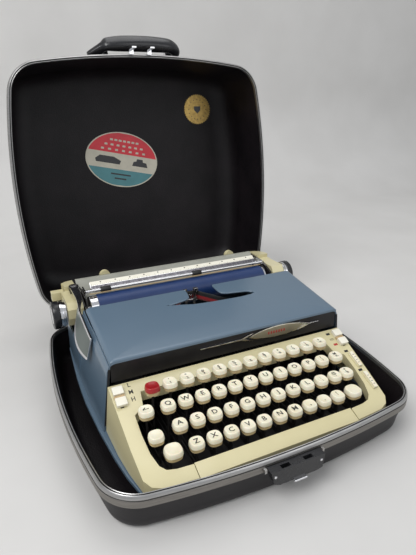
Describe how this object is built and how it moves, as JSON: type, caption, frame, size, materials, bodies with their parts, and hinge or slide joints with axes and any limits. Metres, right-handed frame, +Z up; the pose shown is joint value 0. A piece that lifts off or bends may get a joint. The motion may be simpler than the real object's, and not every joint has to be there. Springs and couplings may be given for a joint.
{
  "type": "typewriter",
  "caption": "Portable manual typewriter standing in the base of its hard carrying case, with the lid open behind it.",
  "frame": {"origin": "centre of the case's underside, on the surface it stands on", "axes": "+X is the typist's right, +Y points to the back where the lid is hinged, +Z is up"},
  "size_m": [0.3908, 0.5281, 0.4379],
  "materials": {
    "case_shell": "charcoal moulded shell with a leather-like grain",
    "case_rim": "drawn aluminium strip, dull with two bright edges",
    "case_trim": "black moulded plastic",
    "frame_steel": "black enamelled steel",
    "body_paint": "blue-grey satin enamel",
    "panel": "black enamel with a silver medallion",
    "surround": "glossy cream plastic",
    "bright_steel": "bright steel",
    "platen_rubber": "deep blue rubber",
    "knob": "black ridged plastic with bright rings",
    "paper_table": "pale enamel",
    "bail": "chrome rod and a dull aluminium scale",
    "lever_chrome": "polished chrome",
    "control_plastic": "pale cream plastic",
    "type_steel": "bright steel type bars",
    "spool_steel": "dark enamel",
    "ribbon_cloth": "inked cloth, red over black",
    "space_bar": "glossy cream plastic",
    "key_cap": "off-white plastic with dark legends",
    "red_cap": "red plastic"
  },
  "bodies": {
    "root": {"case_base": "case_shell", "case_base_rim": "case_rim", "case_hinges": "case_rim", "chassis": "frame_steel", "body_shell": "body_paint", "front_panel": "panel", "keyboard_surround": "surround", "ribbon_spools": "spool_steel", "ribbon": "ribbon_cloth"},
    "lid": {"case_lid": "case_shell", "case_lid_rim": "case_rim"},
    "handle": {"case_handle": "case_trim"},
    "latch": {"case_latch": "case_trim"},
    "cover": {"ribbon_cover": "body_paint"},
    "carriage": {"carriage_frame": "bright_steel", "carriage_end_caps": "surround", "paper_table": "paper_table"},
    "platen_roll": {"platen": "platen_rubber", "platen_knobs": "knob"},
    "bail": {"paper_bail": "bail"},
    "lever": {"return_lever": "lever_chrome"},
    "stop_left": {"margin_stop_left": "control_plastic"},
    "stop_right": {"margin_stop_right": "control_plastic"},
    "release": {"carriage_release": "control_plastic"},
    "basket": {"type_basket": "type_steel"},
    "touch": {"touch_selector": "control_plastic"},
    "ribbon_choice": {"ribbon_selector": "control_plastic"},
    "space": {"space_bar": "space_bar"},
    "shift": {"shift_keys": "key_cap"},
    "tab": {"tab_key": "red_cap"},
    "backspace": {"backspace_key": "key_cap"},
    "margin_release": {"margin_release_key": "key_cap"},
    "tabulator": {"tabulator_key": "key_cap"},
    "figures": {"figure_keys": "key_cap"},
    "letter_Q": {"key_Q": "key_cap"},
    "letter_W": {"key_W": "key_cap"},
    "letter_E": {"key_E": "key_cap"},
    "letter_R": {"key_R": "key_cap"},
    "letter_T": {"key_T": "key_cap"},
    "letter_Y": {"key_Y": "key_cap"},
    "letter_U": {"key_U": "key_cap"},
    "letter_I": {"key_I": "key_cap"},
    "letter_O": {"key_O": "key_cap"},
    "letter_P": {"key_P": "key_cap"},
    "letter_A": {"key_A": "key_cap"},
    "letter_S": {"key_S": "key_cap"},
    "letter_D": {"key_D": "key_cap"},
    "letter_F": {"key_F": "key_cap"},
    "letter_G": {"key_G": "key_cap"},
    "letter_H": {"key_H": "key_cap"},
    "letter_J": {"key_J": "key_cap"},
    "letter_K": {"key_K": "key_cap"},
    "letter_L": {"key_L": "key_cap"},
    "letter_Z": {"key_Z": "key_cap"},
    "letter_X": {"key_X": "key_cap"},
    "letter_C": {"key_C": "key_cap"},
    "letter_V": {"key_V": "key_cap"},
    "letter_B": {"key_B": "key_cap"},
    "letter_N": {"key_N": "key_cap"},
    "letter_M": {"key_M": "key_cap"}
  },
  "joints": [
    {"name": "lid_hinge", "type": "hinge", "parent": "root", "child": "lid", "pos_m": [0, 0.1832, 0.05035], "axis": [1, 0, 0], "range_deg": [0, 97.2]},
    {"name": "handle_fold", "type": "hinge", "parent": "lid", "child": "handle", "pos_m": [0, 0.26322, 0.41369], "axis": [1, 0, 0], "range_deg": [-120, 0]},
    {"name": "latch_release", "type": "hinge", "parent": "root", "child": "latch", "pos_m": [0, -0.1833, 0.0425], "axis": [1, 0, 0], "range_deg": [-15, 0], "stiffness_Nm_per_rad": 0.02},
    {"name": "cover_open", "type": "hinge", "parent": "root", "child": "cover", "pos_m": [0, 0.043, 0.118], "axis": [1, 0, 0], "range_deg": [-50, 0]},
    {"name": "carriage_slide", "type": "slide", "parent": "root", "child": "carriage", "axis": [1, 0, 0], "range_m": [-0.11, 0]},
    {"name": "platen_turn", "type": "hinge", "parent": "carriage", "child": "platen_roll", "pos_m": [0, 0.103, 0.101], "axis": [1, 0, 0], "continuous": true},
    {"name": "bail_lift", "type": "hinge", "parent": "carriage", "child": "bail", "pos_m": [0, 0.128, 0.104], "axis": [1, 0, 0], "range_deg": [-28, 0]},
    {"name": "lever_swing", "type": "hinge", "parent": "carriage", "child": "lever", "pos_m": [-0.145, 0.127, 0.125], "axis": [0, 0, 1], "range_deg": [-30, 0]},
    {"name": "left_stop_slide", "type": "slide", "parent": "carriage", "child": "stop_left", "axis": [1, 0, 0], "range_m": [-0.025, 0.07]},
    {"name": "right_stop_slide", "type": "slide", "parent": "carriage", "child": "stop_right", "axis": [1, 0, 0], "range_m": [-0.07, 0.02]},
    {"name": "release_press", "type": "hinge", "parent": "carriage", "child": "release", "pos_m": [-0.1586, 0.144, 0.102], "axis": [1, 0, 0], "range_deg": [0, 8], "stiffness_Nm_per_rad": 0.05},
    {"name": "basket_drop", "type": "slide", "parent": "root", "child": "basket", "axis": [0, 0, 1], "range_m": [-0.0064, 0]},
    {"name": "touch_slide", "type": "slide", "parent": "root", "child": "touch", "axis": [0, 0.9225, 0.386], "range_m": [-0.006, 0.006]},
    {"name": "ribbon_choice_slide", "type": "slide", "parent": "root", "child": "ribbon_choice", "axis": [0, 0.9225, 0.386], "range_m": [-0.006, 0.006]},
    {"name": "space_press", "type": "hinge", "parent": "root", "child": "space", "pos_m": [0, 0.075, 0.024], "axis": [1, 0, 0], "range_deg": [0, 1.62], "stiffness_Nm_per_rad": 0.6, "springref_deg": -2.86},
    {"name": "shift_press", "type": "hinge", "parent": "root", "child": "shift", "pos_m": [0, 0.075, 0.024], "axis": [1, 0, 0], "range_deg": [0, 2.43], "stiffness_Nm_per_rad": 0.6, "springref_deg": -2.86},
    {"name": "tab_press", "type": "hinge", "parent": "root", "child": "tab", "pos_m": [0, 0.075, 0.024], "axis": [1, 0, 0], "range_deg": [0, 2.93], "stiffness_Nm_per_rad": 0.6, "springref_deg": -2.86},
    {"name": "backspace_press", "type": "hinge", "parent": "root", "child": "backspace", "pos_m": [0, 0.075, 0.024], "axis": [1, 0, 0], "range_deg": [0, 2.95], "stiffness_Nm_per_rad": 0.6, "springref_deg": -2.86},
    {"name": "margin_release_press", "type": "hinge", "parent": "root", "child": "margin_release", "pos_m": [0, 0.075, 0.024], "axis": [1, 0, 0], "range_deg": [0, 1.96], "stiffness_Nm_per_rad": 0.6, "springref_deg": -2.86},
    {"name": "tabulator_press", "type": "hinge", "parent": "root", "child": "tabulator", "pos_m": [0, 0.075, 0.024], "axis": [1, 0, 0], "range_deg": [0, 2.07], "stiffness_Nm_per_rad": 0.6, "springref_deg": -2.86},
    {"name": "figures_press", "type": "hinge", "parent": "root", "child": "figures", "pos_m": [0, 0.075, 0.024], "axis": [1, 0, 0], "range_deg": [0, 3.3], "stiffness_Nm_per_rad": 3, "springref_deg": -2.86},
    {"name": "press_Q", "type": "hinge", "parent": "root", "child": "letter_Q", "pos_m": [0, 0.075, 0.024], "axis": [1, 0, 0], "range_deg": [0, 3.44], "stiffness_Nm_per_rad": 0.6, "springref_deg": -2.86},
    {"name": "press_W", "type": "hinge", "parent": "root", "child": "letter_W", "pos_m": [0, 0.075, 0.024], "axis": [1, 0, 0], "range_deg": [0, 3.44], "stiffness_Nm_per_rad": 0.6, "springref_deg": -2.86},
    {"name": "press_E", "type": "hinge", "parent": "root", "child": "letter_E", "pos_m": [0, 0.075, 0.024], "axis": [1, 0, 0], "range_deg": [0, 3.44], "stiffness_Nm_per_rad": 0.6, "springref_deg": -2.86},
    {"name": "press_R", "type": "hinge", "parent": "root", "child": "letter_R", "pos_m": [0, 0.075, 0.024], "axis": [1, 0, 0], "range_deg": [0, 3.44], "stiffness_Nm_per_rad": 0.6, "springref_deg": -2.86},
    {"name": "press_T", "type": "hinge", "parent": "root", "child": "letter_T", "pos_m": [0, 0.075, 0.024], "axis": [1, 0, 0], "range_deg": [0, 3.44], "stiffness_Nm_per_rad": 0.6, "springref_deg": -2.86},
    {"name": "press_Y", "type": "hinge", "parent": "root", "child": "letter_Y", "pos_m": [0, 0.075, 0.024], "axis": [1, 0, 0], "range_deg": [0, 3.44], "stiffness_Nm_per_rad": 0.6, "springref_deg": -2.86},
    {"name": "press_U", "type": "hinge", "parent": "root", "child": "letter_U", "pos_m": [0, 0.075, 0.024], "axis": [1, 0, 0], "range_deg": [0, 3.44], "stiffness_Nm_per_rad": 0.6, "springref_deg": -2.86},
    {"name": "press_I", "type": "hinge", "parent": "root", "child": "letter_I", "pos_m": [0, 0.075, 0.024], "axis": [1, 0, 0], "range_deg": [0, 3.44], "stiffness_Nm_per_rad": 0.6, "springref_deg": -2.86},
    {"name": "press_O", "type": "hinge", "parent": "root", "child": "letter_O", "pos_m": [0, 0.075, 0.024], "axis": [1, 0, 0], "range_deg": [0, 3.44], "stiffness_Nm_per_rad": 0.6, "springref_deg": -2.86},
    {"name": "press_P", "type": "hinge", "parent": "root", "child": "letter_P", "pos_m": [0, 0.075, 0.024], "axis": [1, 0, 0], "range_deg": [0, 3.44], "stiffness_Nm_per_rad": 0.6, "springref_deg": -2.86},
    {"name": "press_A", "type": "hinge", "parent": "root", "child": "letter_A", "pos_m": [0, 0.075, 0.024], "axis": [1, 0, 0], "range_deg": [0, 3.1], "stiffness_Nm_per_rad": 0.6, "springref_deg": -2.86},
    {"name": "press_S", "type": "hinge", "parent": "root", "child": "letter_S", "pos_m": [0, 0.075, 0.024], "axis": [1, 0, 0], "range_deg": [0, 3.1], "stiffness_Nm_per_rad": 0.6, "springref_deg": -2.86},
    {"name": "press_D", "type": "hinge", "parent": "root", "child": "letter_D", "pos_m": [0, 0.075, 0.024], "axis": [1, 0, 0], "range_deg": [0, 3.1], "stiffness_Nm_per_rad": 0.6, "springref_deg": -2.86},
    {"name": "press_F", "type": "hinge", "parent": "root", "child": "letter_F", "pos_m": [0, 0.075, 0.024], "axis": [1, 0, 0], "range_deg": [0, 3.1], "stiffness_Nm_per_rad": 0.6, "springref_deg": -2.86},
    {"name": "press_G", "type": "hinge", "parent": "root", "child": "letter_G", "pos_m": [0, 0.075, 0.024], "axis": [1, 0, 0], "range_deg": [0, 3.1], "stiffness_Nm_per_rad": 0.6, "springref_deg": -2.86},
    {"name": "press_H", "type": "hinge", "parent": "root", "child": "letter_H", "pos_m": [0, 0.075, 0.024], "axis": [1, 0, 0], "range_deg": [0, 3.1], "stiffness_Nm_per_rad": 0.6, "springref_deg": -2.86},
    {"name": "press_J", "type": "hinge", "parent": "root", "child": "letter_J", "pos_m": [0, 0.075, 0.024], "axis": [1, 0, 0], "range_deg": [0, 3.1], "stiffness_Nm_per_rad": 0.6, "springref_deg": -2.86},
    {"name": "press_K", "type": "hinge", "parent": "root", "child": "letter_K", "pos_m": [0, 0.075, 0.024], "axis": [1, 0, 0], "range_deg": [0, 3.1], "stiffness_Nm_per_rad": 0.6, "springref_deg": -2.86},
    {"name": "press_L", "type": "hinge", "parent": "root", "child": "letter_L", "pos_m": [0, 0.075, 0.024], "axis": [1, 0, 0], "range_deg": [0, 3.1], "stiffness_Nm_per_rad": 0.6, "springref_deg": -2.86},
    {"name": "press_Z", "type": "hinge", "parent": "root", "child": "letter_Z", "pos_m": [0, 0.075, 0.024], "axis": [1, 0, 0], "range_deg": [0, 2.83], "stiffness_Nm_per_rad": 0.6, "springref_deg": -2.86},
    {"name": "press_X", "type": "hinge", "parent": "root", "child": "letter_X", "pos_m": [0, 0.075, 0.024], "axis": [1, 0, 0], "range_deg": [0, 2.83], "stiffness_Nm_per_rad": 0.6, "springref_deg": -2.86},
    {"name": "press_C", "type": "hinge", "parent": "root", "child": "letter_C", "pos_m": [0, 0.075, 0.024], "axis": [1, 0, 0], "range_deg": [0, 2.83], "stiffness_Nm_per_rad": 0.6, "springref_deg": -2.86},
    {"name": "press_V", "type": "hinge", "parent": "root", "child": "letter_V", "pos_m": [0, 0.075, 0.024], "axis": [1, 0, 0], "range_deg": [0, 2.83], "stiffness_Nm_per_rad": 0.6, "springref_deg": -2.86},
    {"name": "press_B", "type": "hinge", "parent": "root", "child": "letter_B", "pos_m": [0, 0.075, 0.024], "axis": [1, 0, 0], "range_deg": [0, 2.83], "stiffness_Nm_per_rad": 0.6, "springref_deg": -2.86},
    {"name": "press_N", "type": "hinge", "parent": "root", "child": "letter_N", "pos_m": [0, 0.075, 0.024], "axis": [1, 0, 0], "range_deg": [0, 2.83], "stiffness_Nm_per_rad": 0.6, "springref_deg": -2.86},
    {"name": "press_M", "type": "hinge", "parent": "root", "child": "letter_M", "pos_m": [0, 0.075, 0.024], "axis": [1, 0, 0], "range_deg": [0, 2.83], "stiffness_Nm_per_rad": 0.6, "springref_deg": -2.86}
  ],
  "couplings": [
    {"joint": "basket_drop", "follows": "shift_press", "m_per_rad": -0.1509}
  ]
}
